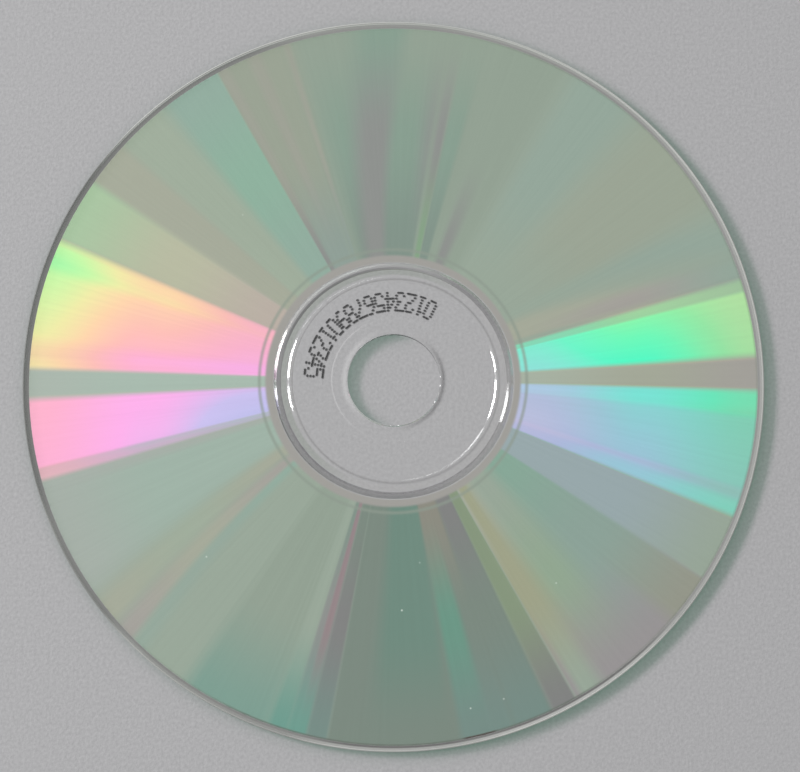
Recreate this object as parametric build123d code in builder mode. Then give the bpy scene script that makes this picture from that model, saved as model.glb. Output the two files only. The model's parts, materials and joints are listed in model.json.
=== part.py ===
# Recordable compact disc, lying flat with its data side up.
#
# The disc is a moulded clear substrate with three thin coats on its label side:
# a dye layer, a metal layer that reflects through the dye, and a clear lacquer that
# seals both. Every piece is round, so each one is the revolution of a half section.
#
# Frame: Z is the spindle axis, and Z = 0 is the lacquered label face that the disc
# lies on. The data side faces up. Lengths are in millimetres.
import os

from build123d import *

# Driving dimensions: the standard disc
DISC_DIAMETER = 120.0
DISC_THICKNESS = 1.2
BORE_DIAMETER = 15.0

# Coats, thicker than the real films so that they stay measurable solids
LACQUER_THICKNESS = 0.02
METAL_THICKNESS = 0.02
DYE_THICKNESS = 0.02

# Radii where the coats begin and end
LACQUER_INNER_RADIUS = 19.45
METAL_INNER_RADIUS = 19.6
DYE_INNER_RADIUS = 21.2
DYE_OUTER_RADIUS = 58.8
METAL_OUTER_RADIUS = 59.0
LACQUER_OUTER_RADIUS = 59.7

# Raised ring on the data side, which keeps stacked discs apart
STACKING_RING_INNER_RADIUS = 16.35
STACKING_RING_OUTER_RADIUS = 17.2
STACKING_RING_HEIGHT = 0.2
STACKING_RING_FLANK_ANGLE = 32.5
STACKING_RING_CROWN_RADIUS = 0.3

# Groove on the label side, left by the ring that holds the stamper in the mould
STAMPER_GROOVE_INNER_RADIUS = 18.3
STAMPER_GROOVE_OUTER_RADIUS = 19.4
STAMPER_GROOVE_DEPTH = 0.25
STAMPER_GROOVE_WALL_ANGLE = 32.0

# Fine witness line of the mould's centre sleeve, on the data side
SLEEVE_LINE_RADIUS = 10.1
SLEEVE_LINE_WIDTH = 0.24
SLEEVE_LINE_DEPTH = 0.06

# Edges of the moulding: the rim is rounded towards the data side, and has a small
# flat at the parting line on the label side
RIM_EDGE_RADIUS = 0.2
RIM_PARTING_CHAMFER = 0.1
BORE_EDGE_CHAMFER = 0.12

# Derived sizes
disc_radius = DISC_DIAMETER / 2
bore_radius = BORE_DIAMETER / 2
metal_z = LACQUER_THICKNESS
dye_z = metal_z + METAL_THICKNESS
label_face_z = dye_z + DYE_THICKNESS
data_face_z = DISC_THICKNESS
ring_middle_radius = (STACKING_RING_INNER_RADIUS + STACKING_RING_OUTER_RADIUS) / 2
groove_middle_radius = (STAMPER_GROOVE_INNER_RADIUS + STAMPER_GROOVE_OUTER_RADIUS) / 2

os.makedirs("parts", exist_ok=True)

# Substrate: a flat plate with its bore, revolved from one section. The section's
# bore corners carry a small lead-in chamfer for the spindle.
with BuildPart() as substrate:
    with BuildSketch(Plane.XZ) as plate_section:
        with Locations((bore_radius, label_face_z)):
            Rectangle(
                disc_radius - bore_radius,
                data_face_z - label_face_z,
                align=(Align.MIN, Align.MIN),
            )
        chamfer(plate_section.vertices().group_by(Axis.X)[0], BORE_EDGE_CHAMFER)
        parting_corner, data_corner = plate_section.vertices().group_by(Axis.X)[-1].sort_by(Axis.Y)
        chamfer(parting_corner, RIM_PARTING_CHAMFER)
        fillet(data_corner, RIM_EDGE_RADIUS)
    revolve(axis=Axis.Z)

    # Stacking ring: a low bead with sloping flanks and a rounded crown, standing on
    # the data face
    with BuildSketch(Plane.XZ) as bead_section:
        with Locations((ring_middle_radius, data_face_z)):
            Trapezoid(
                STACKING_RING_OUTER_RADIUS - STACKING_RING_INNER_RADIUS,
                STACKING_RING_HEIGHT,
                STACKING_RING_FLANK_ANGLE,
                align=(Align.CENTER, Align.MIN),
            )
        crown_corners = bead_section.vertices().group_by(Axis.Y)[-1]
        fillet(crown_corners, STACKING_RING_CROWN_RADIUS)
    revolve(axis=Axis.Z)

    # Stamper groove: flat-bottomed with sloping walls, sunk into the label face
    with BuildSketch(Plane.XZ) as groove_section:
        with Locations((groove_middle_radius, label_face_z)):
            Trapezoid(
                STAMPER_GROOVE_OUTER_RADIUS - STAMPER_GROOVE_INNER_RADIUS,
                STAMPER_GROOVE_DEPTH,
                STAMPER_GROOVE_WALL_ANGLE,
                align=(Align.CENTER, Align.MIN),
            )
    revolve(axis=Axis.Z, mode=Mode.SUBTRACT)

    # Sleeve witness line: a shallow V cut around the hub
    with BuildSketch(Plane.XZ) as sleeve_section:
        with BuildLine():
            Polyline(
                (SLEEVE_LINE_RADIUS - SLEEVE_LINE_WIDTH / 2, data_face_z),
                (SLEEVE_LINE_RADIUS, data_face_z - SLEEVE_LINE_DEPTH),
                (SLEEVE_LINE_RADIUS + SLEEVE_LINE_WIDTH / 2, data_face_z),
                close=True,
            )
        make_face()
    revolve(axis=Axis.Z, mode=Mode.SUBTRACT)

# Dye layer: the recordable ring, spun straight onto the label face of the substrate
with BuildPart() as dye_layer:
    with BuildSketch(Plane.XZ) as dye_section:
        with Locations((DYE_INNER_RADIUS, dye_z)):
            Rectangle(
                DYE_OUTER_RADIUS - DYE_INNER_RADIUS,
                DYE_THICKNESS,
                align=(Align.MIN, Align.MIN),
            )
    revolve(axis=Axis.Z)

# Reflective layer: metal over the dye, stepping up past both of its edges to meet
# the bare substrate, so that the dye lies in a closed tray
with BuildPart() as reflective_layer:
    with BuildSketch(Plane.XZ) as metal_section:
        with Locations((METAL_INNER_RADIUS, metal_z)):
            Rectangle(
                METAL_OUTER_RADIUS - METAL_INNER_RADIUS,
                label_face_z - metal_z,
                align=(Align.MIN, Align.MIN),
            )
        add(dye_section.sketch, mode=Mode.SUBTRACT)
    revolve(axis=Axis.Z)

# Lacquer coat: the outermost film on the label side, which closes over the edges
# of the metal in the same way
with BuildPart() as lacquer_coat:
    with BuildSketch(Plane.XZ) as lacquer_section:
        with Locations((LACQUER_INNER_RADIUS, 0)):
            Rectangle(
                LACQUER_OUTER_RADIUS - LACQUER_INNER_RADIUS,
                label_face_z,
                align=(Align.MIN, Align.MIN),
            )
        with Locations((METAL_INNER_RADIUS, metal_z)):
            Rectangle(
                METAL_OUTER_RADIUS - METAL_INNER_RADIUS,
                label_face_z - metal_z,
                align=(Align.MIN, Align.MIN),
                mode=Mode.SUBTRACT,
            )
    revolve(axis=Axis.Z)

substrate.part.label = "substrate"
export_step(substrate.part, "parts/substrate.step")

dye_layer.part.label = "dye_layer"
export_step(dye_layer.part, "parts/dye_layer.step")

reflective_layer.part.label = "reflective_layer"
export_step(reflective_layer.part, "parts/reflective_layer.step")

lacquer_coat.part.label = "lacquer_coat"
export_step(lacquer_coat.part, "parts/lacquer_coat.step")
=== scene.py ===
# Recordable compact disc lying data side up on a pale table, seen from almost straight above.
#
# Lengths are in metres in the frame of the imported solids: Z is the spindle axis and Z = 0 is
# the lacquered face that the disc lies on. Angles around the disc are in degrees, counted
# from +X towards +Y.
import json
import math

import bmesh
import bpy
from mathutils import Matrix, Vector


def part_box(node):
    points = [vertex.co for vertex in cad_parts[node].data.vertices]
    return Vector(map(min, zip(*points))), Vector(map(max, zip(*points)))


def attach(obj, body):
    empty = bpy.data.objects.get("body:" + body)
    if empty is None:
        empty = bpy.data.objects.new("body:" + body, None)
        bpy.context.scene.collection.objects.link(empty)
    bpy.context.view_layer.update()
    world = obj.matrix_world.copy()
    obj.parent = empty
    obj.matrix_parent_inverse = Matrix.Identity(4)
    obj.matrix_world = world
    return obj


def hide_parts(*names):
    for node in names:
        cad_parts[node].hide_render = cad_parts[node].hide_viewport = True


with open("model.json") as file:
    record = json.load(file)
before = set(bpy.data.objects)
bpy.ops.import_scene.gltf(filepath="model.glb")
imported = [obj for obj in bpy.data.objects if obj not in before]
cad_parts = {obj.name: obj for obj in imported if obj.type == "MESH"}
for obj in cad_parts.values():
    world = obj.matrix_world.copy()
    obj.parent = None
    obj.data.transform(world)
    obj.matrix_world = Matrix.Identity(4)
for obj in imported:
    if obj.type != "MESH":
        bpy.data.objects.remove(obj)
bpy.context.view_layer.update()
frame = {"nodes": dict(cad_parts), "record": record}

MM = 0.001

# Levels of the disc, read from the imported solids
LABEL_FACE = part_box("substrate")[0].z
RING_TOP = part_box("substrate")[1].z
DISC_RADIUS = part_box("substrate")[1].x
LACQUER_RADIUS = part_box("lacquer_coat")[1].x
BORE_RADIUS = frame["record"]["mounts"][0]["dims"]["r_mm"] * MM
DATA_FACE = frame["record"]["mounts"][1]["pos_m"][2]

# Features of the moulded substrate
RIM_ROUNDING = 0.2 * MM
PARTING_CHAMFER = 0.1 * MM
BORE_CHAMFER = 0.12 * MM
STACKING_RING = (16.35 * MM, 17.2 * MM)
RING_FLANK_ANGLE = math.radians(32.5)
RING_CROWN_RADIUS = 0.3 * MM
GROOVE_MOUTH = (18.3 * MM, 19.4 * MM)
GROOVE_DEPTH = 0.25 * MM
GROOVE_WALL_ANGLE = math.radians(32)
SLEEVE_LINE_RADIUS = 10.1 * MM
SLEEVE_LINE_WIDTH = 0.24 * MM

# The line is half as deep as the solid's, which would throw back a stray glint
SLEEVE_LINE_DEPTH = 0.03 * MM

# Radii of the coats and of the rings seen in them
METAL_START = 19.6 * MM
MIRROR_END = 20.7 * MM
MIRROR_SOFTNESS = 0.3 * MM
LEAD_LINE_RADIUS = 21.66 * MM
LEAD_LINE_WIDTH = 0.5 * MM
DATA_START = 21.85 * MM
METAL_END = 59.0 * MM

# The rings at the start of the recording lie off centre, this far to the left
RECORDING_SHIFT = 0.11 * MM

# Painted shade lies on the clear face inside the sleeve line, and between the ring and the groove
HUB_SHADE_END = 18.3 * MM

# The clear face outside the lacquer, down to the chamfer, is as hazy as the rim, and painted with its
# light and shade
HAZE_START = LACQUER_RADIUS

# Air left between the clear moulding and the coats, so that no two faces coincide
OPTICAL_GAP = 0.004 * MM

# Fineness of the mesh, and the distance under which two points are one
SEGMENTS = 320
CROWN_STEPS = 6
ROUNDING_STEPS = 8
SHARP_ANGLE = math.radians(12)
SAME_RADIUS = 1e-6 * MM


# Mesh of the moulding

def arc_points(centre, radius, start, end, count):
    """Points of a circular arc in the half section, angles in degrees from the +R direction."""
    points = []
    for i in range(count + 1):
        a = math.radians(start + (end - start) * i / count)
        points.append((centre[0] + radius * math.cos(a), centre[1] + radius * math.sin(a)))
    return points


def ring_flank():
    """Points of the stacking ring, from its inner foot up to the middle of its crown."""
    foot, end = STACKING_RING
    height = RING_TOP - DATA_FACE
    corner = foot + height / math.tan(RING_FLANK_ANGLE)
    start = corner + RING_CROWN_RADIUS * math.tan(RING_FLANK_ANGLE / 2)
    centre = (start, RING_TOP - RING_CROWN_RADIUS)
    flank_end = 90 + math.degrees(RING_FLANK_ANGLE)
    crown = arc_points(centre, RING_CROWN_RADIUS, flank_end, 90, CROWN_STEPS)
    return [(foot, DATA_FACE), *crown, ((foot + end) / 2, RING_TOP)]


def groove_wall(label):
    """Points of the groove's inner wall, from its mouth up to its flat top."""
    mouth = GROOVE_MOUTH[0]
    run = GROOVE_DEPTH / math.tan(GROOVE_WALL_ANGLE)
    return [(mouth, label), (mouth + run, label + GROOVE_DEPTH)]


def mirrored(points, middle):
    """The points of a half profile and, after them, their mirror images about a radius."""
    others = [(r, z) for r, z in reversed(points) if abs(r - middle) > SAME_RADIUS]
    return points + [(2 * middle - r, z) for r, z in others]


def substrate_section():
    """Half section of the clear moulding, once around from the label end of the bore."""
    label = LABEL_FACE + OPTICAL_GAP
    section = [
        (BORE_RADIUS + BORE_CHAMFER, label),
        (BORE_RADIUS, label + BORE_CHAMFER),
        (BORE_RADIUS, DATA_FACE - BORE_CHAMFER),
        (BORE_RADIUS + BORE_CHAMFER, DATA_FACE),
        (SLEEVE_LINE_RADIUS - SLEEVE_LINE_WIDTH / 2, DATA_FACE),
        (SLEEVE_LINE_RADIUS, DATA_FACE - SLEEVE_LINE_DEPTH),
        (SLEEVE_LINE_RADIUS + SLEEVE_LINE_WIDTH / 2, DATA_FACE),
    ]
    section += mirrored(ring_flank(), sum(STACKING_RING) / 2)
    section.append((HUB_SHADE_END, DATA_FACE))
    corner = (DISC_RADIUS - RIM_ROUNDING, DATA_FACE - RIM_ROUNDING)
    section += arc_points(corner, RIM_ROUNDING, 90, 0, ROUNDING_STEPS)
    section += [
        (DISC_RADIUS, label + PARTING_CHAMFER),
        (DISC_RADIUS - PARTING_CHAMFER, label),
        (HAZE_START, label),
        (METAL_END, label),
        (METAL_START, label),
    ]
    section += reversed(mirrored(groove_wall(label), sum(GROOVE_MOUTH) / 2))
    return section


def lathe(name, section):
    """A round solid made by turning a closed half section, a list of (radius, height), about Z."""
    mesh = bpy.data.meshes.new(name)
    bm = bmesh.new()
    rows = []
    for k in range(SEGMENTS):
        a = 2 * math.pi * k / SEGMENTS
        rows.append([bm.verts.new((r * math.cos(a), r * math.sin(a), z)) for r, z in section])
    for k in range(SEGMENTS):
        here, there = rows[k], rows[(k + 1) % SEGMENTS]
        for i in range(len(section)):
            j = (i + 1) % len(section)
            face = bm.faces.new((here[i], there[i], there[j], here[j]))
            face.smooth = True
    bmesh.ops.recalc_face_normals(bm, faces=bm.faces)
    bm.to_mesh(mesh)
    bm.free()
    mesh.set_sharp_from_angle(angle=SHARP_ANGLE)
    return add_object(name, mesh)


def add_object(name, data):
    """Links a mesh, a lamp or a camera into the scene as a new object."""
    obj = bpy.data.objects.new(name, data)
    bpy.context.scene.collection.objects.link(obj)
    return obj


# Shader building blocks

def new_material(name):
    """A material, and its node tree with nothing in it."""
    material = bpy.data.materials.new(name)
    material.use_nodes = True
    material.node_tree.nodes.clear()
    return material, material.node_tree


def finished(material, surface):
    """The material, with its surface fed to its output."""
    tree = material.node_tree
    tree.links.new(surface, tree.nodes.new("ShaderNodeOutputMaterial").inputs[0])
    return material


def link(tree, source, target):
    """Feeds a socket with another socket, or sets it to a plain value."""
    if isinstance(source, bpy.types.NodeSocket):
        tree.links.new(source, target)
    else:
        target.default_value = source


def feed(tree, node, values):
    """Feeds or sets some inputs of a node, each given by its name or its place."""
    for socket, value in values.items():
        link(tree, value, node.inputs[socket])


def math_node(tree, operation, *values, clamp=False):
    """The result of one Math node."""
    node = tree.nodes.new("ShaderNodeMath")
    node.operation = operation
    node.use_clamp = clamp
    feed(tree, node, dict(enumerate(values)))
    return node.outputs[0]


def map_range(tree, value, start, end, low=0.0, high=1.0, blend="LINEAR"):
    """Carries a value from one range over to another, and holds it at the ends."""
    node = tree.nodes.new("ShaderNodeMapRange")
    node.interpolation_type = blend
    feed(tree, node, {"Value": value, "From Min": start, "From Max": end, "To Min": low, "To Max": high})
    return node.outputs[0]


def step(tree, value, start, end):
    """0 at start, 1 at end, and smooth in between."""
    return map_range(tree, value, start, end, blend="SMOOTHSTEP")


def band(tree, value, start, end, soft):
    """1 between start and end, and 0 outside, with soft edges."""
    rise = step(tree, value, start - soft, start + soft)
    fall = step(tree, value, end - soft, end + soft)
    return math_node(tree, "SUBTRACT", rise, fall, clamp=True)


# A Mix node lists its sockets for numbers, vectors and colours in one row
MIX_SHARE = 0
MIX_VALUES = (2, 3)
MIX_COLOURS = (6, 7)
MIXED_VALUE, MIXED_COLOUR = 0, 2


def mix_colour(tree, share, a, b, blend="MIX"):
    """Mixes two colours."""
    node = tree.nodes.new("ShaderNodeMix")
    node.data_type = "RGBA"
    node.blend_type = blend
    feed(tree, node, {MIX_SHARE: share, MIX_COLOURS[0]: a, MIX_COLOURS[1]: b})
    return node.outputs[MIXED_COLOUR]


def mix_value(tree, share, a, b):
    """Mixes two numbers."""
    node = tree.nodes.new("ShaderNodeMix")
    feed(tree, node, {MIX_SHARE: share, MIX_VALUES[0]: a, MIX_VALUES[1]: b})
    return node.outputs[MIXED_VALUE]


def both(tree, *masks):
    """The product of some masks."""
    result = masks[0]
    for mask in masks[1:]:
        result = math_node(tree, "MULTIPLY", result, mask)
    return result


def grey(tree, level):
    """A grey colour of a given level."""
    node = tree.nodes.new("ShaderNodeCombineColor")
    feed(tree, node, {"Red": level, "Green": level, "Blue": level})
    return node.outputs[0]


def noise(tree, vector, scale, detail=2.0, roughness=0.5):
    """The value of a Noise texture."""
    node = tree.nodes.new("ShaderNodeTexNoise")
    feed(tree, node, {"Vector": vector, "Scale": scale, "Detail": detail, "Roughness": roughness})
    return node.outputs["Fac"]


def on_circle(degrees, radius, height):
    """The point at an angle around the axis, a radius and a height."""
    a = math.radians(degrees)
    return (radius * math.cos(a), radius * math.sin(a), height)


def spot_mask(tree, position, spots):
    """Small round spots, each with its centre, the radii between which it fades, and a strength."""
    mask = 0.0
    for centre, outer, inner, strength in spots:
        node = tree.nodes.new("ShaderNodeVectorMath")
        node.operation = "DISTANCE"
        tree.links.new(position, node.inputs[0])
        node.inputs[1].default_value = centre
        spot = both(tree, step(tree, node.outputs["Value"], outer, inner), strength)
        mask = math_node(tree, "MAXIMUM", mask, spot)
    return mask


def principled(tree, values):
    """A Principled BSDF with some of its inputs fed or set."""
    node = tree.nodes.new("ShaderNodeBsdfPrincipled")
    feed(tree, node, values)
    return node.outputs[0]


# Angles start and end in the plain gap on the right
ANGLE_SEAM = 1.5


def polar_coordinates(tree):
    """Position, radius in metres, and angle in degrees over the full turn from ANGLE_SEAM."""
    position = tree.nodes.new("ShaderNodeTexCoord").outputs["Object"]
    split = tree.nodes.new("ShaderNodeSeparateXYZ")
    tree.links.new(position, split.inputs[0])
    x, y = split.outputs["X"], split.outputs["Y"]
    squares = math_node(tree, "ADD", math_node(tree, "MULTIPLY", x, x), math_node(tree, "MULTIPLY", y, y))
    radius = math_node(tree, "SQRT", squares)
    turn = math_node(tree, "DEGREES", math_node(tree, "ARCTAN2", y, x))
    angle = math_node(tree, "WRAP", turn, 360.0 + ANGLE_SEAM, ANGLE_SEAM)
    return position, radius, angle


def ring_line(tree, radius, centre, width):
    """1 on a thin line around the axis, and 0 away from it."""
    away = math_node(tree, "ABSOLUTE", math_node(tree, "SUBTRACT", radius, centre))
    return step(tree, away, width, 0.0)


def facing(tree, angle, direction):
    """The cosine of the angle from a direction."""
    turn = math_node(tree, "SUBTRACT", angle, direction)
    return math_node(tree, "COSINE", math_node(tree, "RADIANS", turn))


def towards(tree, angle, direction, start, end):
    """1 on the side that lies in a direction; start and end are cosines of the angle from it."""
    return step(tree, facing(tree, angle, direction), start, end)


# Muted tones of the recorded area, away from the bright wedges: the dye's colour, with painted
# diffraction of the room's light
TONES = {
    "sage": (0.313, 0.382, 0.308),
    "olive": (0.328, 0.371, 0.289),
    "cool_sage": (0.293, 0.382, 0.318),
    "warm_grey": (0.376, 0.393, 0.308),
    "rose_grey": (0.371, 0.349, 0.318),
    "pale_teal": (0.279, 0.405, 0.334),
    "teal": (0.261, 0.434, 0.328),
    "pale_sage": (0.344, 0.446, 0.376),
    "pale_grey": (0.376, 0.422, 0.376),
    "green_grey": (0.344, 0.410, 0.318),
    "low_sage": (0.284, 0.349, 0.279),
    "low_teal": (0.234, 0.334, 0.265),
    "low_green": (0.209, 0.279, 0.234),
    "mauve_grey": (0.261, 0.270, 0.256),
    "low_leaf": (0.225, 0.360, 0.221),
    "khaki": (0.483, 0.489, 0.349),
    "peach_grey": (0.496, 0.422, 0.365),
    "mint_grey": (0.393, 0.555, 0.349),
    "sea": (0.193, 0.334, 0.274),
    "deep_sea": (0.138, 0.323, 0.261),
    "plum": (0.293, 0.221, 0.230),
    "dark_mauve": (0.209, 0.209, 0.205),
    "dark_sage": (0.185, 0.238, 0.197),
    "dark_teal": (0.141, 0.243, 0.193),
    "dark_slate": (0.166, 0.251, 0.221),
    "bright_slate": (0.128, 0.298, 0.221),
    "dark_rose": (0.256, 0.247, 0.201),
    "dark_leaf": (0.230, 0.298, 0.189),
    "straw": (0.349, 0.360, 0.234),
    "dusk_rose": (0.313, 0.289, 0.293),
    "dusk_brown": (0.298, 0.303, 0.243),
    "spring_sea": (0.234, 0.388, 0.303),
    "blue_grey": (0.313, 0.393, 0.410),
    "mist": (0.265, 0.334, 0.293),
    "dust": (0.313, 0.349, 0.274),
    "dusty_rose": (0.334, 0.344, 0.284),
    "bright_sage": (0.388, 0.489, 0.416),
    "bright_grey": (0.405, 0.464, 0.405),
    "leaf_sage": (0.284, 0.388, 0.274),
    "sea_sage": (0.256, 0.360, 0.308),
    "light_sage": (0.393, 0.446, 0.360),
}
BASE_TONE = "sage"

# Streaks of muted tone, painted diffraction of the room's light: first and last angle, softness of
# either edge, how far the streak leans to a smaller angle at the hub, and its tone at the hub, half
# way and at the rim. Later streaks lie over earlier ones.
STREAKS = (
    ("right_warm", 10, 17, 1.5, 2.5, -10, "warm_grey", "warm_grey", "sage"),
    ("right_rose", 16.5, 20, 1.0, 1.5, -2, "warm_grey", "rose_grey", "cool_sage"),
    ("right_teal", 21, 26, 2.5, 3.0, -10, "pale_teal", "cool_sage", "cool_sage"),
    ("right_olive", 29, 46, 3.0, 4.0, 0, "sage", "olive", "olive"),
    ("right_green", 49, 60, 3.0, 3.0, 0, "sage", "cool_sage", "cool_sage"),
    ("upper", 61, 119.4, 3.0, 0.3, 0, "low_sage", "low_sage", "low_sage"),
    ("upper_rose", 67, 71, 2.0, 1.5, 0, "mauve_grey", "low_sage", "low_sage"),
    ("upper_teal", 74.8, 78.4, 0.8, 0.6, 0, "low_green", "low_teal", "low_sage"),
    ("top_leaf", 78.6, 80.6, 0.6, 0.8, 0, "low_leaf", "mauve_grey", "low_sage"),
    ("top_green", 80.8, 100, 1.0, 4.0, -1, "low_green", "mauve_grey", "low_sage"),
    ("top_teal", 83, 105, 3.0, 4.0, 0, "low_green", "low_teal", "low_sage"),
    ("top_mauve", 88, 96, 2.0, 3.0, -6, "mauve_grey", "mauve_grey", "low_teal"),
    ("upper_left_dust", 107, 119.4, 2.5, 0.3, -1, "mist", "dust", "dust"),
    ("rose_line", 107, 108, 0.6, 0.6, 0, "mist", "dusty_rose", "dusty_rose"),
    ("rose_pair", 112, 114.2, 0.8, 0.8, 0, "mist", "dusty_rose", "dusty_rose"),
    ("edge_rose", 117.6, 119.3, 0.8, 0.3, 0, "mauve_grey", "dusty_rose", "dusty_rose"),
    ("left_teal", 119.6, 130.5, 0.3, 3.0, 0, "pale_teal", "teal", "pale_teal"),
    ("left_green", 130, 139, 2.0, 1.0, 0, "green_grey", "green_grey", "green_grey"),
    ("left_taupe", 138.8, 146.4, 1.0, 0.6, 0, "warm_grey", "warm_grey", "warm_grey"),
    ("faint_wedge", 146.3, 156.9, 0.9, 0.9, 0, "peach_grey", "khaki", "mint_grey"),
    ("wedge_gap", 177.5, 183.9, 0.4, 0.4, 0, "bright_sage", "bright_sage", "bright_grey"),
    ("lower_left_pale", 195, 216, 0.5, 4.0, 4, "pale_sage", "pale_sage", "pale_grey"),
    ("pink_shore", 195.2, 198.4, 0.4, 1.0, 0, "pale_grey", "pale_grey", "pale_grey"),
    ("olive_lean", 217, 221.5, 2.0, 1.2, 6, "warm_grey", "green_grey", "warm_grey"),
    ("rose_lean", 222, 225.4, 1.5, 1.0, 6, "rose_grey", "warm_grey", "rose_grey"),
    ("teal_lean", 225.5, 228, 1.0, 1.5, 6, "pale_teal", "cool_sage", "cool_sage"),
    ("lower_left_grey", 229, 237, 2.0, 3.0, 3, "sage", "sage", "sage"),
    ("lower_left_low", 236, 250, 2.0, 2.0, 0, "low_sage", "low_sage", "sea"),
    ("rim_sea", 243.5, 250, 2.0, 1.5, 0, "low_sage", "low_sage", "sea"),
    ("pale_line", 250.2, 253.4, 0.8, 0.6, 0, "sage", "sage", "deep_sea"),
    ("deep_sea_line", 253.2, 256.4, 0.5, 0.6, 0, "low_green", "mauve_grey", "deep_sea"),
    ("plum_line", 254.6, 256.2, 0.4, 0.6, 0, "plum", "plum", "deep_sea"),
    ("mauve_line", 256.3, 259.7, 0.5, 0.5, 0, "dark_sage", "dark_mauve", "dark_slate"),
    ("bottom", 259.7, 295.5, 0.4, 0.6, 0, "dark_sage", "dark_sage", "dark_sage"),
    ("bottom_teal", 266, 279, 2.5, 1.5, -2, "dark_teal", "dark_teal", "dark_sage"),
    ("bottom_slate", 280.6, 286.6, 0.8, 1.0, 0, "dark_rose", "bright_slate", "dark_slate"),
    ("bottom_leaf", 285.5, 289, 1.0, 1.0, 0, "dark_rose", "dark_sage", "dark_slate"),
    ("bottom_brown", 289, 295.3, 1.0, 0.8, 0, "dark_mauve", "dark_sage", "dark_slate"),
    ("edge_leaf", 295.4, 299.4, 0.6, 0.3, 0, "dark_leaf", "dark_leaf", "dark_mauve"),
    ("lower_right", 299.6, 327, 0.4, 0.5, 0, "warm_grey", "straw", "dusk_rose"),
    ("straw_line", 300.5, 304.5, 0.8, 2.0, 0, "straw", "straw", "sage"),
    ("lower_right_green", 305.5, 327, 3.0, 0.5, 0, "sage", "leaf_sage", "dusk_rose"),
    ("lower_right_sea", 312, 327, 4.0, 0.5, -4, "spring_sea", "sea_sage", "dusk_rose"),
    ("lower_right_brown", 319, 327, 2.0, 0.5, 0, "spring_sea", "sea_sage", "dusk_brown"),
    ("lower_right_blue", 327.1, 338.5, 0.6, 0.4, 0, "blue_grey", "blue_grey", "sage"),
    ("right_gap", 358.0, 363, 0.4, 0.5, 0, "light_sage", "warm_grey", "rose_grey"),
    ("right_gap_end", 0.5, 4.2, 0.5, 0.4, 0, "light_sage", "warm_grey", "rose_grey"),
)

# One turn of the painted diffraction colours, from lilac through green and pink to lilac again
RAINBOW = (
    (0.00, (0.626, 0.542, 0.909)),
    (0.10, (0.458, 0.522, 0.865)),
    (0.20, (0.318, 0.626, 0.789)),
    (0.30, (0.166, 0.839, 0.724)),
    (0.38, (0.049, 1.020, 0.590)),
    (0.47, (0.138, 1.020, 0.496)),
    (0.55, (0.293, 0.964, 0.399)),
    (0.62, (0.576, 0.973, 0.388)),
    (0.69, (0.909, 0.856, 0.388)),
    (0.76, (1.049, 0.678, 0.410)),
    (0.84, (1.049, 0.522, 0.483)),
    (0.91, (1.049, 0.446, 0.633)),
    (0.96, (1.049, 0.434, 0.856)),
    (1.00, (0.626, 0.542, 0.909)),
)

# Bright wedges, painted highlights where the two window panes are diffracted to the viewer: first
# and last angle and softness of either edge; then, each at the hub, half way and at the rim, the turn
# of the rainbow along the first edge, the turn along the last edge, and the cover over the tone below.
PAINTED_WEDGES = (
    ("mint", 4.1, 14.9, 0.9, 0.7, (0.29, 0.37, 0.58), (0.34, 0.54, 0.61), (0.90, 1.0, 0.68)),
    ("mint_fringe", 14.6, 16.5, 0.5, 0.6, (0.36, 0.55, 0.59), (0.40, 0.57, 0.59), (0.5, 0.5, 0.28)),
    ("yellow", 157.4, 178.1, 0.9, 0.7, (0.88, 0.73, 0.585), (0.955, 0.925, 0.72), (0.92, 1.0, 1.0)),
    ("yellow_edge", 157.2, 158.0, 0.9, 1.4, (0.90, 0.77, 0.65), (0.88, 0.74, 0.62), (0.85, 1.0, 1.0)),
    ("green_streak", 160.0, 161.4, 1.6, 1.6, (0.87, 0.71, 0.55), (0.88, 0.72, 0.56), (0.92, 1.0, 1.0)),
    ("yellow_end", 174.0, 177.0, 2.0, 1.5, (0.955, 0.925, 0.74), (0.955, 0.925, 0.74), (0.92, 1.0, 0.9)),
    ("pink", 183.2, 194.6, 0.8, 0.6, (0.985, 0.957, 0.90), (1.05, 0.972, 0.92), (0.95, 1.0, 1.0)),
    ("pink_fringe", 194.3, 196.2, 0.6, 0.6, (1.0, 0.98, 0.90), (1.0, 0.97, 0.88), (0.35, 0.4, 0.6)),
    ("blue", 338.2, 358.4, 0.8, 0.7, (0.03, 0.16, 0.28), (0.12, 0.28, 0.37), (0.75, 0.82, 0.46)),
    ("blue_left", 338.2, 340.0, 0.8, 1.2, (0.06, 0.21, 0.33), (0.05, 0.19, 0.31), (0.75, 0.84, 0.55)),
    ("blue_strip", 341.2, 342.2, 0.9, 0.9, (0.02, 0.13, 0.27), (0.02, 0.13, 0.27), (0.72, 0.72, 0.36)),
    ("blue_right", 355.0, 358.2, 1.6, 0.9, (0.15, 0.30, 0.42), (0.15, 0.30, 0.42), (0.90, 0.92, 0.62)),
)
GAP_HUE = 0.8

# How many times as fast as the cover the hue turns, where nothing shows yet
HUE_LEAD = 4.0

# The painted wedges on the right are paler near the hub, a painted glow. A SIDE, here and below, is a
# direction, and the cosines of the angles from it at which a shade begins and is full.
PALE_SHARE = 0.11
PALE_COLOUR = (0.95, 1.0, 1.0, 1)
PALE_REACH = (0.5, 0.95)
PALE_SIDE = (0.0, 0.93, 0.97)

# What a streak or wedge is told of a place: its angle, the share of the way left to the rim, and
# the progress of the blends from the hub to half way and from there to the rim
PLACE = ("Angle", "To Rim", "Inner", "Outer")
SPAN = ("Rise From", "Rise To", "Fall From", "Fall To")


def place_on_ring(tree, radius, angle):
    """The values for PLACE."""
    reach = map_range(tree, radius, DATA_START, METAL_END)
    to_rim = math_node(tree, "SUBTRACT", 1.0, reach)
    return angle, to_rim, step(tree, reach, 0.0, 0.5), step(tree, reach, 0.5, 1.0)


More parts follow.
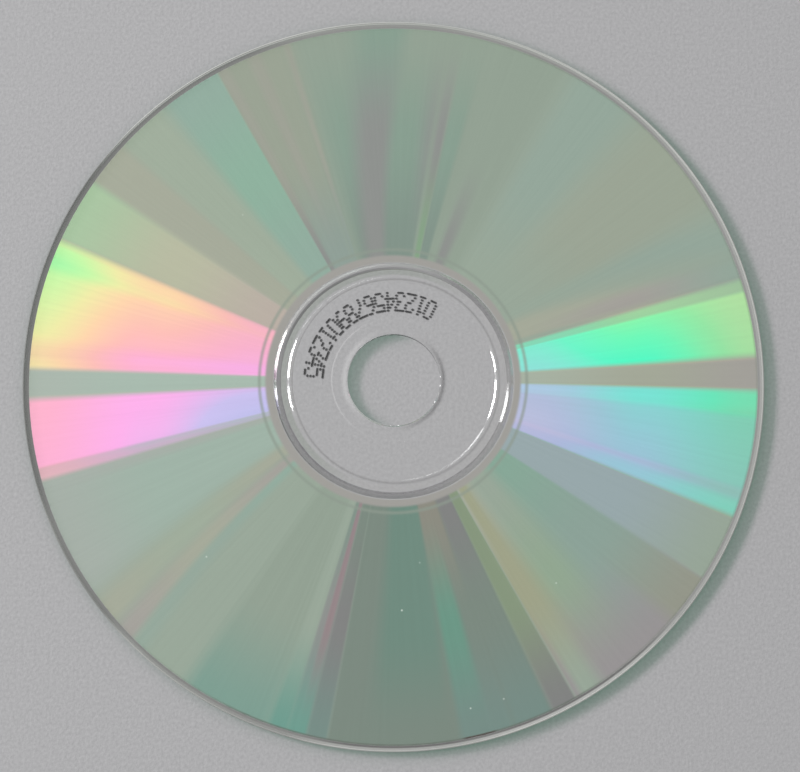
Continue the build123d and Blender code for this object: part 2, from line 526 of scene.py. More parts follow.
def angular_group(name, values):
    """A node group that is told a place, a span of angles and some more values."""
    group = bpy.data.node_groups.new(name, "ShaderNodeTree")
    for socket in (*PLACE, *SPAN):
        group.interface.new_socket(socket, in_out="INPUT", socket_type="NodeSocketFloat")
    for socket, kind in values:
        group.interface.new_socket(socket, in_out="INPUT", socket_type="NodeSocket" + kind)
    given = group.nodes.new("NodeGroupInput").outputs
    result = group.nodes.new("NodeGroupOutput").inputs
    return group, given, result


def span_mask(group, given, angle):
    """1 inside the span of angles, with its soft edges."""
    rise = step(group, angle, given["Rise From"], given["Rise To"])
    fall = step(group, angle, given["Fall From"], given["Fall To"])
    return math_node(group, "SUBTRACT", rise, fall, clamp=True)


def streak_group():
    """Lays one streak of muted tone, painted diffraction, over the colour so far."""
    values = [("Lean", "Float")] + [(name, "Color") for name in ("Colour", "Hub", "Middle", "Edge")]
    group, given, result = angular_group("painted_diffraction_streak", values)
    group.interface.new_socket("Colour", in_out="OUTPUT", socket_type="NodeSocketColor")
    angle = math_node(group, "MULTIPLY_ADD", given["To Rim"], given["Lean"], given["Angle"])
    tone = mix_colour(group, given["Inner"], given["Hub"], given["Middle"])
    tone = mix_colour(group, given["Outer"], tone, given["Edge"])
    mask = span_mask(group, given, angle)
    group.links.new(mix_colour(group, mask, given["Colour"], tone), result["Colour"])
    return group


def over_radius(group, given, values):
    """Blends the three numbers of a vector, for the hub, half way and the rim."""
    split = group.nodes.new("ShaderNodeSeparateXYZ")
    link(group, values, split.inputs[0])
    inward = mix_value(group, given["Inner"], split.outputs[0], split.outputs[1])
    return mix_value(group, given["Outer"], inward, split.outputs[2])


def painted_wedge_group():
    """Lays one painted bright wedge over the hue and the cover so far."""
    values = [("Hue", "Float"), ("Cover", "Float")]
    values += [(name, "Vector") for name in ("First Edge", "Last Edge", "Strength")]
    group, given, result = angular_group("painted_bright_wedge", values)
    for name in ("Hue", "Cover"):
        group.interface.new_socket(name, in_out="OUTPUT", socket_type="NodeSocketFloat")
    mask = span_mask(group, given, given["Angle"])
    across = map_range(group, given["Angle"], given["Rise From"], given["Fall To"])
    first, last = (over_radius(group, given, given[name]) for name in ("First Edge", "Last Edge"))
    hue = mix_value(group, across, first, last)
    # The hue turns before the cover, so that an edge keeps one colour
    lead = math_node(group, "MULTIPLY_ADD", given["Cover"], 1.0 - HUE_LEAD, HUE_LEAD)
    turned = math_node(group, "MULTIPLY", mask, lead, clamp=True)
    group.links.new(mix_value(group, turned, given["Hue"], hue), result["Hue"])
    strength = over_radius(group, given, given["Strength"])
    group.links.new(mix_value(group, mask, given["Cover"], strength), result["Cover"])
    return group


def place_group(tree, group, name, place, span):
    """A group node for one streak or wedge, with its place and its span of angles set."""
    node = tree.nodes.new("ShaderNodeGroup")
    node.node_tree = group
    node.name = name
    start, end, soft_start, soft_end = span
    edges = (start - soft_start, start + soft_start, end - soft_end, end + soft_end)
    feed(tree, node, dict(zip(PLACE + SPAN, (*place, *edges))))
    return node


def painted_streak_colour(tree, place):
    """The muted tones all round the disc, with their painted diffraction."""
    group = streak_group()
    colour = (*TONES[BASE_TONE], 1)
    for name, *span, lean, hub, middle, edge in STREAKS:
        node = place_group(tree, group, name, place, span)
        hub, middle, edge = ((*TONES[tone], 1) for tone in (hub, middle, edge))
        feed(tree, node, {"Colour": colour, "Lean": lean, "Hub": hub, "Middle": middle, "Edge": edge})
        colour = node.outputs["Colour"]
    return colour


def rainbow(tree, hue):
    """The colour at a turn of the rainbow."""
    node = tree.nodes.new("ShaderNodeValToRGB")
    ramp = node.color_ramp
    ramp.elements[0].position = RAINBOW[0][0]
    ramp.elements[1].position = RAINBOW[-1][0]
    for turn, _ in RAINBOW[1:-1]:
        ramp.elements.new(turn)
    for element, (_, colour) in zip(ramp.elements, RAINBOW):
        element.color = (*colour, 1.0)
    link(tree, math_node(tree, "WRAP", hue, 1.0, 0.0), node.inputs[0])
    return node.outputs[0]


def painted_wedge_colour(tree, place, colour):
    """The painted bright wedges over the muted tones."""
    group = painted_wedge_group()
    hue, cover = GAP_HUE, 0.0
    for name, *span, first, last, strength in PAINTED_WEDGES:
        node = place_group(tree, group, name, place, span)
        feed(tree, node, {"Hue": hue, "Cover": cover, "Strength": strength})
        feed(tree, node, {"First Edge": first, "Last Edge": last})
        hue, cover = node.outputs["Hue"], node.outputs["Cover"]
    angle, to_rim, _, _ = place
    right = towards(tree, angle, *PALE_SIDE)
    pale = both(tree, step(tree, to_rim, *PALE_REACH), right, PALE_SHARE)
    return mix_colour(tree, cover, colour, mix_colour(tree, pale, rainbow(tree, hue), PALE_COLOUR))


# Dust and pits on the recorded area: angle in degrees, radius in millimetres, and how bright
SPECKS = (
    (272, 37.4, 0.9), (283, 54.4, 0.6), (288.8, 54.4, 0.5), (308.3, 42, 0.5),
    (223.8, 41.6, 0.6), (278, 30, 0.3), (132, 36.9, 0.3),
)
SPECK_FADE = (0.208 * MM, 0.052 * MM)
SPECK_COLOUR = (0.75, 0.82, 0.75, 1)

# Fine radial lines of slightly changing level. The noise is looked up at the angle and at the
# radius times a stretch; it takes a scale, a detail and a roughness.
STRIATION_STRETCH = 12.0
STRIATION_NOISE = (1.6, 2.0, 0.6)
STRIATION_NOISE_RANGE = (0.25, 0.75)
STRIATION_LEVELS = (0.97, 1.03)


def speck_mask(tree, position):
    """How far the dust specks cover a place."""
    spots = [(on_circle(turn, radius * MM, LABEL_FACE), *SPECK_FADE, strength)
             for turn, radius, strength in SPECKS]
    return spot_mask(tree, position, spots)


def striations(tree, angle, radius):
    """The level of the fine radial lines."""
    vector = tree.nodes.new("ShaderNodeCombineXYZ")
    feed(tree, vector, {"X": angle, "Y": math_node(tree, "MULTIPLY", radius, STRIATION_STRETCH)})
    fine = noise(tree, vector.outputs[0], *STRIATION_NOISE)
    return map_range(tree, fine, *STRIATION_NOISE_RANGE, *STRIATION_LEVELS)


def recorded_colour(tree, position, radius, angle):
    """The colour of the recorded ring, with its diffraction painted in."""
    place = place_on_ring(tree, radius, angle)
    colour = painted_wedge_colour(tree, place, painted_streak_colour(tree, place))
    colour = mix_colour(tree, 1.0, colour, grey(tree, striations(tree, angle, radius)), "MULTIPLY")
    return mix_colour(tree, speck_mask(tree, position), colour, SPECK_COLOUR)


# Rings at the start of the recording
MIRROR_COLOUR = (0.36, 0.35, 0.325, 1)
LEAD_LINE_COLOUR = (0.27, 0.325, 0.27, 1)
LEAD_LINE_SHARE = 0.7

# Shade at the edge of the metal, which sets in between two radii. It is left out on the plain
# arc, and deeper on the dark arc and in the smear. An arc has two angles and a softness.
EDGE_SHADE_FADE = (58.6 * MM, 58.9 * MM)
EDGE_PLAIN_ARC = (75, 232, 10.0)
EDGE_SHADE_SHARE = 0.4
EDGE_SHADE_COLOUR = (0.20, 0.23, 0.19, 1)
EDGE_DARK_ARC = (243, 303, 4.0)
EDGE_DARK_SHARE = 0.55
EDGE_DARK_COLOUR = (0.10, 0.12, 0.10, 1)
EDGE_SMEAR_ARC = (281, 286, 0.5)
EDGE_SMEAR_SHARE = 0.8
EDGE_SMEAR_COLOUR = (0.05, 0.02, 0.015, 1)

# Lifts the tones a little, to make up for the light that the clear moulding takes
FILM_LEVEL = (1.03, 1.05, 1.05, 1)
FILM_METALLIC = 0.2
FILM_ROUGHNESS = 0.3


def edge_shaded(tree, radius, angle, colour):
    """The colour of the film, shaded at its outer edge."""
    edge = step(tree, radius, *EDGE_SHADE_FADE)
    far = math_node(tree, "SUBTRACT", 1.0, band(tree, angle, *EDGE_PLAIN_ARC))
    dark = band(tree, angle, *EDGE_DARK_ARC)
    smear = band(tree, angle, *EDGE_SMEAR_ARC)
    colour = mix_colour(tree, both(tree, edge, far, EDGE_SHADE_SHARE), colour, EDGE_SHADE_COLOUR)
    colour = mix_colour(tree, both(tree, edge, dark, EDGE_DARK_SHARE), colour, EDGE_DARK_COLOUR)
    return mix_colour(tree, both(tree, edge, smear, EDGE_SMEAR_SHARE), colour, EDGE_SMEAR_COLOUR)


def film_material():
    """The dye over its metal, seen from the data side through the clear moulding, with the diffraction of
    the room's light painted into its colour.
    """
    material, tree = new_material("recorded_film")
    position, radius, angle = polar_coordinates(tree)
    colour = recorded_colour(tree, position, radius, angle)
    colour = mix_colour(tree, 1.0, colour, FILM_LEVEL, "MULTIPLY")
    rightward = facing(tree, angle, 0.0)
    shifted = math_node(tree, "MULTIPLY_ADD", rightward, RECORDING_SHIFT, radius)
    lead = both(tree, ring_line(tree, shifted, LEAD_LINE_RADIUS, LEAD_LINE_WIDTH), LEAD_LINE_SHARE)
    colour = mix_colour(tree, lead, colour, LEAD_LINE_COLOUR)
    mirror = step(tree, shifted, MIRROR_END + MIRROR_SOFTNESS, MIRROR_END - MIRROR_SOFTNESS)
    colour = mix_colour(tree, mirror, colour, MIRROR_COLOUR)
    colour = edge_shaded(tree, radius, angle, colour)
    surface = {"Base Color": colour, "Metallic": FILM_METALLIC, "Roughness": FILM_ROUGHNESS}
    return finished(material, principled(tree, surface))


# What the edge shows of the room, all round the disc: the lip of bare lacquer outside the metal
# and the rounded rim are dark towards the window and bright away from it. Each arc has its first
# and last angle, softness, and level on the lip's inner and outer part and on the rim.
LIP_INNER, LIP_OUTER, RIM_LEVEL = range(3)
EDGE_BASE = (0.25, 0.35, 0.52)
EDGE_ARCS = (
    ("upper_right", 42, 75, 14, (0.21, 0.30, 0.50)),
    ("top", 75, 108, 12, (0.22, 0.25, 0.45)),
    ("upper_left", 108, 150, 8, (0.16, 0.13, 0.40)),
    ("left", 140, 205, 8, (0.13, 0.10, 0.12)),
    ("left_lower", 200, 226, 8, (0.16, 0.14, 0.20)),
    ("lower_left", 224, 258, 6, (0.17, 0.24, 0.36)),
    ("bottom", 258, 284, 6, (0.09, 0.34, 0.54)),
    ("lower_right", 284, 315, 6, (0.10, 0.42, 0.68)),
)
EDGE_HUE = (1.0, 1.01, 0.97, 1)
LIP_SHADE_FADE = (59.23 * MM, 59.47 * MM)

# The lips are the lacquer past the edges of the metal, where it faces up. The rest is silver,
# with faint clouds from a noise of this scale and detail.
LIP_LEVELS = (LABEL_FACE * 0.4, LABEL_FACE * 0.6)
LIP_SOFTNESS = 0.02 * MM
LIP_ROUGHNESS = 0.5
INNER_LIP_COLOUR = (0.36, 0.36, 0.35, 1)
SILVER_LIGHT = (0.74, 0.745, 0.75, 1)
SILVER_DEEP = (0.64, 0.645, 0.65, 1)
SILVER_CLOUDS = (60.0, 4.0)
SILVER_METALLIC = 0.9
SILVER_ROUGHNESS = 0.24
LACQUER_ROUGHNESS = 0.05


def painted_edge_level(tree, angle, part):
    """The painted light level of one part of the edge."""
    level = EDGE_BASE[part]
    for _, start, end, soft, levels in EDGE_ARCS:
        level = mix_value(tree, band(tree, angle, start, end, soft), level, levels[part])
    return level


def edge_colour(tree, level):
    """The faint tint of the moulding at a level of painted light."""
    return mix_colour(tree, 1.0, grey(tree, level), EDGE_HUE, "MULTIPLY")


def painted_lip_light(tree, radius, angle):
    """The bare lacquer outside the metal, in the painted light and shade of the edge."""
    outer = step(tree, radius, *LIP_SHADE_FADE)
    inner_level, outer_level = (painted_edge_level(tree, angle, part) for part in (LIP_INNER, LIP_OUTER))
    return edge_colour(tree, mix_value(tree, outer, inner_level, outer_level))


def lacquer_material():
    """Clear lacquer straight over the metal, unprinted, and its bare lips in painted light and shade."""
    material, tree = new_material("label_lacquer")
    position, radius, angle = polar_coordinates(tree)
    silver = mix_colour(tree, noise(tree, position, *SILVER_CLOUDS), SILVER_DEEP, SILVER_LIGHT)
    height = tree.nodes.new("ShaderNodeSeparateXYZ")
    tree.links.new(position, height.inputs[0])
    upper = step(tree, height.outputs["Z"], *LIP_LEVELS)
    outer_lip = both(tree, upper, step(tree, radius, METAL_END, METAL_END + LIP_SOFTNESS))
    inner_lip = both(tree, upper, step(tree, radius, METAL_START, METAL_START - LIP_SOFTNESS))
    colour = mix_colour(tree, outer_lip, silver, painted_lip_light(tree, radius, angle))
    colour = mix_colour(tree, inner_lip, colour, INNER_LIP_COLOUR)
    bare = math_node(tree, "MAXIMUM", outer_lip, inner_lip)
    surface = principled(tree, {
        "Base Color": colour,
        "Metallic": mix_value(tree, bare, SILVER_METALLIC, 0.0),
        "Roughness": mix_value(tree, bare, SILVER_ROUGHNESS, LIP_ROUGHNESS),
        "Coat Weight": 1.0,
        "Coat Roughness": LACQUER_ROUGHNESS,
    })
    return finished(material, surface)


POLYCARBONATE_IOR = 1.585

# The kinds of clear surface of the moulding, in the order of their slots, with the refractive
# index and the weight of the coat that catches the window. The bond to the coats bends no light.
CLEAR_SURFACES = (
    ("clear_faces", POLYCARBONATE_IOR, 0.0),
    ("bore_wall", POLYCARBONATE_IOR, 0.0),
    ("clear_bead", POLYCARBONATE_IOR, 0.5),
    ("clear_groove", POLYCARBONATE_IOR, 0.38),
    ("clear_bond", 1.0, 0.0),
    ("shaded_hub", POLYCARBONATE_IOR, 0.0),
)
FACES, BORE_WALL, BEAD, GROOVE, BOND, SHADED, RIM = range(7)
WHITE = (1.0, 1.0, 1.0, 1)
CLEAR_TINT = (0.97, 0.97, 0.97, 1)
GLINT_IOR = 1.8
GLINT_ROUGHNESS = 0.12


def let_lamps_through(tree, surface, entering=WHITE, leaving=WHITE):
    """A surface that shadow, diffuse and blurred rays pass straight, tinted by their side."""
    passing = tree.nodes.new("ShaderNodeBsdfTransparent")
    inside = tree.nodes.new("ShaderNodeNewGeometry").outputs["Backfacing"]
    link(tree, mix_colour(tree, inside, leaving, entering), passing.inputs[0])
    path = tree.nodes.new("ShaderNodeLightPath").outputs
    blurred = math_node(tree, "SUBTRACT", path["Is Glossy Ray"], path["Is Singular Ray"], clamp=True)
    lit = math_node(tree, "MAXIMUM", path["Is Shadow Ray"], path["Is Diffuse Ray"])
    mixed = tree.nodes.new("ShaderNodeMixShader")
    through = math_node(tree, "MAXIMUM", lit, blurred)
    feed(tree, mixed, {0: through, 1: surface, 2: passing.outputs[0]})
    return mixed.outputs[0]


# Shade around the bore: a dark line on the right, where the wall hides the floor, and a light
# one on the left, where the wall throws the window back
BORE_LINE_RADIUS = 8.02 * MM
BORE_DARK_SIDE = (345.0, 0.2, 1.0)
BORE_DARK_WIDTH = 0.65 * MM
BORE_DARK_TINT = (0.34, 0.34, 0.34, 1)
BORE_LIGHT_SIDE = (172.0, 0.3, 1.0)
BORE_LIGHT_WIDTH = 0.75 * MM
BORE_LIGHT_SHARE = 0.17

# The bore's wall keeps most of the light that meets it from inside, on the window's side
BORE_TINT = (0.85, 0.85, 0.85, 1)
BORE_LEAVING = (0.31, 0.48, 0.39, 1)
BORE_SHADOW_SIDE = (168.0, -0.35, 0.3)

# Nicks on the edge of the bore, painted bright as the glints they throw: angle in degrees, and
# radius in millimetres; and the share of the radius that is fully bright
BORE_NICK_GLINTS = ((3.7, 0.16), (352.5, 0.2), (331, 0.2), (327, 0.12), (275.5, 0.2), (266, 0.14))
NICK_CORE = 0.6

# Painted light on the sleeve line: its pale shares away from the window and towards it
SLEEVE_LIGHT_SHARES = (0.03, 0.15)

# Painted shade in the groove, darkest away from the lower right
GROOVE_SHADE = (0.33, 0.33, 0.33, 1)
GROOVE_PALE_SHADE = (0.50, 0.50, 0.49, 1)
GROOVE_LIGHT_SIDE = (338.0, 0.5, 1.0)

# Where the groove throws the window back: first and last angle, and softness of the ends
GROOVE_GLINTS = ((155.5, 177.3, 1.2), (183.8, 189.5, 1.8), (339.0, 358.8, 1.2))

# The groove is hazy on the upper left, where clear walls would mirror the room's lit wall
GROOVE_HAZE = 0.85
GROOVE_HAZE_SIDE = (113.0, 0.5, 0.85)

# Shade that the stacking ring throws on the hub. Its line lies nearer the rim on the lower right
# than on the upper left. Beyond it, the land up to the groove is deeper towards the window.
RING_LINE_RADIUS = 16.75 * MM
RING_LINE_SHIFT = 0.37 * MM
RING_LINE_TOWARDS = 326.0
RING_LINE_WIDTH = 0.36 * MM
RING_LINE_TINT = (0.54, 0.54, 0.53, 1)
LAND_SHADE_SIDE = (150.0, -0.3, 0.4)
LAND_FADE = (17.2 * MM, 17.5 * MM)
LAND_SHADE_TINT = (0.67, 0.74, 0.65, 1)
LAND_TINT = (0.95, 0.945, 0.93, 1)


def hub_tint_and_shade(tree):
    """The tint of the clear plastic around the bore and from the ring to the groove, with the painted
    shade of the ring and the bore.
    """
    _, radius, angle = polar_coordinates(tree)
    sideways = facing(tree, angle, RING_LINE_TOWARDS)
    middle = math_node(tree, "MULTIPLY_ADD", sideways, RING_LINE_SHIFT, RING_LINE_RADIUS)
    line = ring_line(tree, radius, middle, RING_LINE_WIDTH)
    land = step(tree, radius, *LAND_FADE)
    shaded = both(tree, land, towards(tree, angle, *LAND_SHADE_SIDE))
    dark = towards(tree, angle, *BORE_DARK_SIDE)
    dark = both(tree, dark, ring_line(tree, radius, BORE_LINE_RADIUS, BORE_DARK_WIDTH))
    colour = mix_colour(tree, land, CLEAR_TINT, LAND_TINT)
    colour = mix_colour(tree, shaded, colour, LAND_SHADE_TINT)
    colour = mix_colour(tree, line, colour, RING_LINE_TINT)
    return mix_colour(tree, dark, colour, BORE_DARK_TINT)


def hub_clearness(tree):
    """How much of the light passes straight: less where painted light makes the bore's edge and the
    sleeve line pale.
    """
    _, radius, angle = polar_coordinates(tree)
    window_side = towards(tree, angle, *BORE_LIGHT_SIDE)
    pale = ring_line(tree, radius, BORE_LINE_RADIUS, BORE_LIGHT_WIDTH)
    pale = both(tree, pale, window_side, BORE_LIGHT_SHARE)
    sleeve = ring_line(tree, radius, SLEEVE_LINE_RADIUS, SLEEVE_LINE_WIDTH)
    sleeve = both(tree, sleeve, mix_value(tree, window_side, *SLEEVE_LIGHT_SHARES))
    return math_node(tree, "SUBTRACT", 1.0, math_node(tree, "MAXIMUM", pale, sleeve))


def nick_glint_mask(tree, position):
    """Small nicks on the edge of the bore, painted bright as glints."""
    spots = [(on_circle(turn, BORE_RADIUS, DATA_FACE), size * MM, size * NICK_CORE * MM, 1.0)
             for turn, size in BORE_NICK_GLINTS]
    return spot_mask(tree, position, spots)


def surface_tint(tree, name):
    """The tint of one kind of clear surface, with painted shade on the hub, the ring and the groove."""
    if name in ("clear_bead", "shaded_hub"):
        return hub_tint_and_shade(tree)
    if name == "clear_groove":
        _, _, angle = polar_coordinates(tree)
        right = towards(tree, angle, *GROOVE_LIGHT_SIDE)
        return mix_colour(tree, right, GROOVE_SHADE, GROOVE_PALE_SHADE)
    return BORE_TINT if name == "bore_wall" else CLEAR_TINT


def coat_weight(tree, name, weight):
    """How strongly one kind of clear surface catches the window."""
    if name != "clear_groove":
        return weight
    _, _, angle = polar_coordinates(tree)
    smooth = 0.0
    for glint in GROOVE_GLINTS:
        smooth = math_node(tree, "MAXIMUM", smooth, band(tree, angle, *glint))
    return both(tree, smooth, weight)


def surface_clearness(tree, name):
    """How much of the light passes straight through one kind of clear surface."""
    if name == "shaded_hub":
        return hub_clearness(tree)
    if name == "bore_wall":
        position, _, _ = polar_coordinates(tree)
        return math_node(tree, "SUBTRACT", 1.0, nick_glint_mask(tree, position))
    if name == "clear_groove":
        _, _, angle = polar_coordinates(tree)
        haze = towards(tree, angle, *GROOVE_HAZE_SIDE)
        return math_node(tree, "SUBTRACT", 1.0, both(tree, haze, GROOVE_HAZE))
    return 1.0


def clear_material(name, index, coat):
    """Clear polycarbonate."""
    material, tree = new_material(name)
    glass = principled(tree, {
        "Base Color": surface_tint(tree, name),
        "Roughness": 0.0,
        "IOR": index,
        "Transmission Weight": surface_clearness(tree, name),
        "Coat Weight": coat_weight(tree, name, coat),
        "Coat IOR": GLINT_IOR,
        "Coat Roughness": GLINT_ROUGHNESS,
    })
    leaving = WHITE
    if name == "bore_wall":
        _, _, angle = polar_coordinates(tree)
        shade = towards(tree, angle, *BORE_SHADOW_SIDE)
        leaving = mix_colour(tree, shade, WHITE, BORE_LEAVING)
    return finished(material, let_lamps_through(tree, glass, leaving=leaving))


# The rounded rim gathers the light of the whole disc and scatters it. Its light and dark arcs are painted
# into its colour.
RIM_CLEARNESS = 0.12
RIM_ROUGHNESS = 0.35
RIM_SPECULAR = 0.2
RIM_ENTERING = (0.90, 0.92, 0.90, 1)
RIM_LEAVING = (0.19, 0.39, 0.28, 1)


def rim_material():
    """Polycarbonate at the rim, hazy, with the painted light and dark arcs of the edge."""
    material, tree = new_material("hazy_rim")
    _, _, angle = polar_coordinates(tree)
    surface = principled(tree, {
        "Base Color": edge_colour(tree, painted_edge_level(tree, angle, RIM_LEVEL)),
        "Roughness": RIM_ROUGHNESS,
        "IOR": POLYCARBONATE_IOR,
        "Specular IOR Level": RIM_SPECULAR,
        "Transmission Weight": RIM_CLEARNESS,
    })
    return finished(material, let_lamps_through(tree, surface, RIM_ENTERING, RIM_LEAVING))


def surface_kind(face):
    """Which kind of surface a face of the moulding is."""
    radius = Vector(face.center[:2]).length
    upper = face.center.z > DATA_FACE / 2
    if radius > DISC_RADIUS - RIM_ROUNDING or radius > HAZE_START and not upper:
        return RIM
    if radius < BORE_RADIUS + BORE_CHAMFER:
        return BORE_WALL
    if STACKING_RING[0] < radius < STACKING_RING[1] and face.center.z > DATA_FACE:
        return BEAD
    if upper and (radius < SLEEVE_LINE_RADIUS + SLEEVE_LINE_WIDTH / 2
                  or STACKING_RING[1] < radius < HUB_SHADE_END):
        return SHADED
    if GROOVE_MOUTH[0] < radius < GROOVE_MOUTH[1] and not upper:
        return GROOVE
    if METAL_START < radius < METAL_END and not upper:
        return BOND
    return FACES


def build_substrate():
    """The clear moulding."""
    piece = lathe("clear_substrate", substrate_section())
    for surface in CLEAR_SURFACES:
        piece.data.materials.append(clear_material(*surface))
    piece.data.materials.append(rim_material())
    for face in piece.data.polygons:
        face.material_index = surface_kind(face)
    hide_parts("substrate")
    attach(piece, "root")


def dress_coats():
    """The coats keep their solids and get their materials."""
    film = film_material()
    lacquer = lacquer_material()
    for node, material in (("dye_layer", film), ("reflective_layer", film), ("lacquer_coat", lacquer)):
        frame["nodes"][node].data.materials.clear()
        frame["nodes"][node].data.materials.append(material)


# Batch number printed in dots under the hub: plain counting digits, tops towards the bore. Each
# is seven rows of five places, with 1 for a dot.
DIGIT_DOTS = {
    "0": "01110 10001 10001 10001 10001 10001 01110",
    "1": "00100 01100 00100 00100 00100 00100 01110",
    "2": "01110 10001 00001 00110 01000 10000 11111",
    "3": "11111 00001 00010 00110 00001 10001 01110",
    "4": "00010 00110 01010 10010 11111 00010 00010",
    "5": "11111 10000 11110 00001 00001 10001 01110",
    "6": "00110 01000 10000 11110 10001 10001 01110",
    "7": "11111 00001 00010 00100 01000 01000 01000",
    "8": "01110 10001 10001 01110 10001 10001 01110",
    "9": "01110 10001 10001 01111 00001 00010 01100",
}
DIGIT_TEXT = "0123456789012345"
DIGIT_FIRST_ANGLE = 63.5
DIGIT_PITCH = 7.4
DIGIT_INNER_RADIUS = 11.55 * MM
DIGIT_ROW_PITCH = 0.49 * MM
DIGIT_COLUMN_PITCH = 0.31 * MM
DOT_HALF_SIZE = (0.25 * MM, 0.19 * MM)
DOT_CORNERS = 8
DIGIT_MIDDLE_COLUMN = 2
INK_LEVEL = LABEL_FACE - 0.004 * MM
INK_DEEP = (0.012, 0.012, 0.014, 1)
INK_LIGHT = (0.03, 0.03, 0.032, 1)
INK_GRAIN_SCALE = 4000.0
INK_ROUGHNESS = 0.5


def ink_material():
    """Black marking ink."""
    material, tree = new_material("marking_ink")
    position = tree.nodes.new("ShaderNodeTexCoord").outputs["Object"]
    colour = mix_colour(tree, noise(tree, position, INK_GRAIN_SCALE), INK_DEEP, INK_LIGHT)
    surface = principled(tree, {"Base Color": colour, "Roughness": INK_ROUGHNESS})
    return finished(material, surface)


def dot_corners(digit_angle, column, row):
    """The outline of one ink dot."""
    along = (column - DIGIT_MIDDLE_COLUMN) * DIGIT_COLUMN_PITCH
    out = DIGIT_INNER_RADIUS + row * DIGIT_ROW_PITCH
    outward, onward = (Vector(on_circle(digit_angle + turn, 1.0, 0.0)) for turn in (0, 90))
    middle = outward * out + onward * along + Vector((0, 0, INK_LEVEL))
    corners = []
    for i in range(DOT_CORNERS):
        b = 2 * math.pi * (i + 0.5) / DOT_CORNERS
        shift = onward * (DOT_HALF_SIZE[0] * math.cos(b)) + outward * (DOT_HALF_SIZE[1] * math.sin(b))
        corners.append(middle + shift)
    return corners


def build_digits():
    """The printed digits, as flat dots just under the clear hub."""
    bm = bmesh.new()
    for i, digit in enumerate(DIGIT_TEXT):
        for row, bits in enumerate(DIGIT_DOTS[digit].split()):
            for column, bit in enumerate(bits):
                if bit == "1":
                    angle = DIGIT_FIRST_ANGLE + i * DIGIT_PITCH
                    bm.faces.new([bm.verts.new(p) for p in dot_corners(angle, column, row)])
    mesh = bpy.data.meshes.new("batch_digits")
    bm.to_mesh(mesh)
    bm.free()
    mesh.materials.append(ink_material())
    piece = add_object("batch_digits", mesh)
    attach(piece, "root")


# Surroundings

FLOOR_SIZE = 6.0
FLOOR_GAP = 0.01 * MM
FLOOR_LIGHT = (0.445, 0.443, 0.45, 1)
FLOOR_DEEP = (0.285, 0.283, 0.29, 1)
FLOOR_ROUGHNESS = 0.6

# The pressed grain: scale, detail and roughness of its noise, and strength and depth of the bump
FLOOR_GRAIN = (1900.0, 3.0, 0.6)
FLOOR_BUMP_STRENGTH = 0.55
FLOOR_BUMP_DEPTH = 0.08 * MM


def floor_material():
    """A pale table top with a fine pressed grain."""
    material, tree = new_material("table")
    position = tree.nodes.new("ShaderNodeTexCoord").outputs["Object"]
    grain = noise(tree, position, *FLOOR_GRAIN)
    bump = tree.nodes.new("ShaderNodeBump")
    feed(tree, bump, {"Height": grain, "Strength": FLOOR_BUMP_STRENGTH, "Distance": FLOOR_BUMP_DEPTH})
    surface = principled(tree, {
        "Base Color": mix_colour(tree, grain, FLOOR_DEEP, FLOOR_LIGHT),
        "Roughness": FLOOR_ROUGHNESS,
        "Normal": bump.outputs[0],
    })
    return finished(material, surface)


def build_floor():
    """The table, a hair under the disc."""
    mesh = bpy.data.meshes.new("table")
    half = FLOOR_SIZE / 2
    corners = [(-half, -half, 0), (half, -half, 0), (half, half, 0), (-half, half, 0)]
    mesh.from_pydata(corners, [], [(0, 1, 2, 3)])
    mesh.materials.append(floor_material())
    floor = add_object("table", mesh)
    floor.location.z = -FLOOR_GAP


# Soft light from all round, two window panes with a bar between them, and the paler wall
# beside them, each with its first and last angle and its radiance. To a camera that leans back,
# the disc shows a pane about ten degrees further round than it stands, which brings the panes
# to the angles of the bright wedges.
WORLD_LEVEL = 0.475
WINDOW_DISTANCE = 2.2
WINDOW_ELEVATION = (21.0, 31.0)
WINDOW_PANES = (
    ("window_upper", 147.5, 167.4, 52.0),
    ("window_lower", 173.0, 185.4, 31.0),
    ("room_wall", 94.0, 141.0, 5.0),
)


def build_world():
    """Even light from all round."""
    world = bpy.data.worlds.new("studio")
    world.use_nodes = True
    background = world.node_tree.nodes["Background"]
    background.inputs["Color"].default_value = WHITE
    background.inputs["Strength"].default_value = WORLD_LEVEL
    bpy.context.scene.world = world


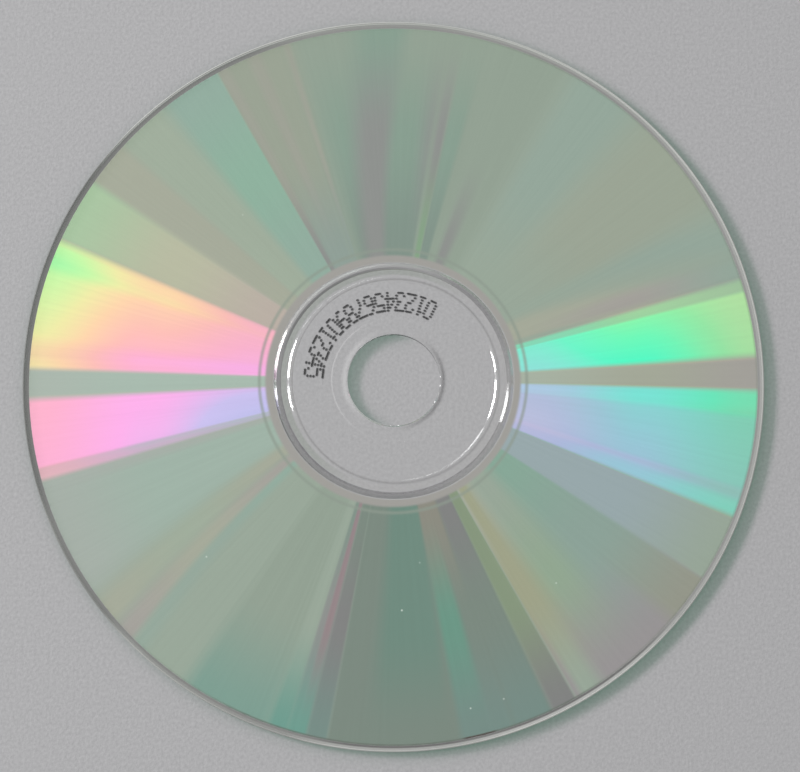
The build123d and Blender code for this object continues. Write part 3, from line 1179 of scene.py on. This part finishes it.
def build_window():
    """Area lights at the left, low over the table, each filling its angles as seen from the disc."""
    low, high = (math.radians(a) for a in WINDOW_ELEVATION)
    middle = (low + high) / 2
    reach = WINDOW_DISTANCE * math.cos(middle)
    for name, start, end, radiance in WINDOW_PANES:
        lamp = bpy.data.lights.new(name, "AREA")
        lamp.shape = "RECTANGLE"
        lamp.size = 2 * reach * math.tan(math.radians(end - start) / 2)
        lamp.size_y = 2 * WINDOW_DISTANCE * math.tan((high - low) / 2)
        lamp.energy = radiance * math.pi * lamp.size * lamp.size_y
        place = add_object(name, lamp)
        place.location = on_circle((start + end) / 2, reach, WINDOW_DISTANCE * math.sin(middle))
        place.rotation_mode = "QUATERNION"
        place.rotation_quaternion = Vector(place.location).to_track_quat("Z", "Y")


# The camera looks down from a little below the disc in the picture, which is 800 pixels wide
IMAGE_WIDTH = 800
CAMERA_DISTANCE = 0.527
CAMERA_LEAN = (math.radians(-0.43), math.radians(-10.2))
PIXELS_PER_METRE = 6168.0
CAMERA_AIM = Vector((1.01 * MM, -0.85 * MM, 0))
SENSOR_WIDTH = 36.0
CAMERA_CLIP = (0.01, 20.0)


def build_camera():
    """The photograph's viewpoint, with +Y up in the picture."""
    data = bpy.data.cameras.new("viewpoint")
    data.sensor_width = SENSOR_WIDTH
    data.lens = SENSOR_WIDTH * PIXELS_PER_METRE * CAMERA_DISTANCE / IMAGE_WIDTH
    data.clip_start, data.clip_end = CAMERA_CLIP
    camera = add_object("viewpoint", data)
    x, y = math.sin(CAMERA_LEAN[0]), math.sin(CAMERA_LEAN[1])
    camera.location = Vector((x, y, math.sqrt(1 - x * x - y * y))) * CAMERA_DISTANCE
    back = (camera.location - CAMERA_AIM).normalized()
    right = Vector((0, 1, 0)).cross(back).normalized()
    camera.rotation_mode = "QUATERNION"
    camera.rotation_quaternion = Matrix((right, back.cross(right), back)).transposed().to_quaternion()
    bpy.context.scene.camera = camera


build_substrate()
dress_coats()
build_digits()
build_floor()
build_world()
build_window()
build_camera()
bpy.context.scene.view_settings.view_transform = "Standard"
